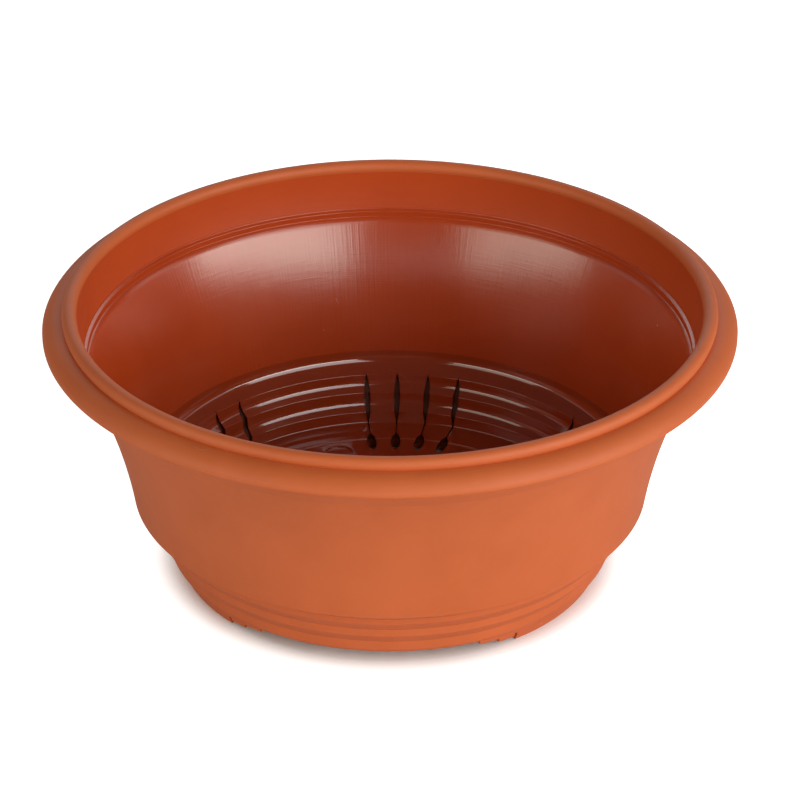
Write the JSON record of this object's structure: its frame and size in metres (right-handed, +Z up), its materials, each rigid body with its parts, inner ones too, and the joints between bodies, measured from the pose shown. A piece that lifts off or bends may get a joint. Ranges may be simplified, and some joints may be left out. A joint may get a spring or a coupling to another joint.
{
  "type": "bowl planter",
  "caption": "Wide round terracotta-coloured plastic bowl planter with a rolled rim, stepped slotted base and low feet.",
  "frame": {"origin": "centre of the bowl's round base, on the plane that its feet stand on", "axes": "+Z up along the bowl's round axis; +Y through the middle of one foot and of one slot group; +X completes the right-handed frame"},
  "size_m": [0.35, 0.3498, 0.147],
  "materials": {
    "terracotta_plastic": "satin outside, smooth and glossy inside"
  },
  "bodies": {
    "root": {"bowl": "terracotta_plastic"}
  },
  "joints": []
}
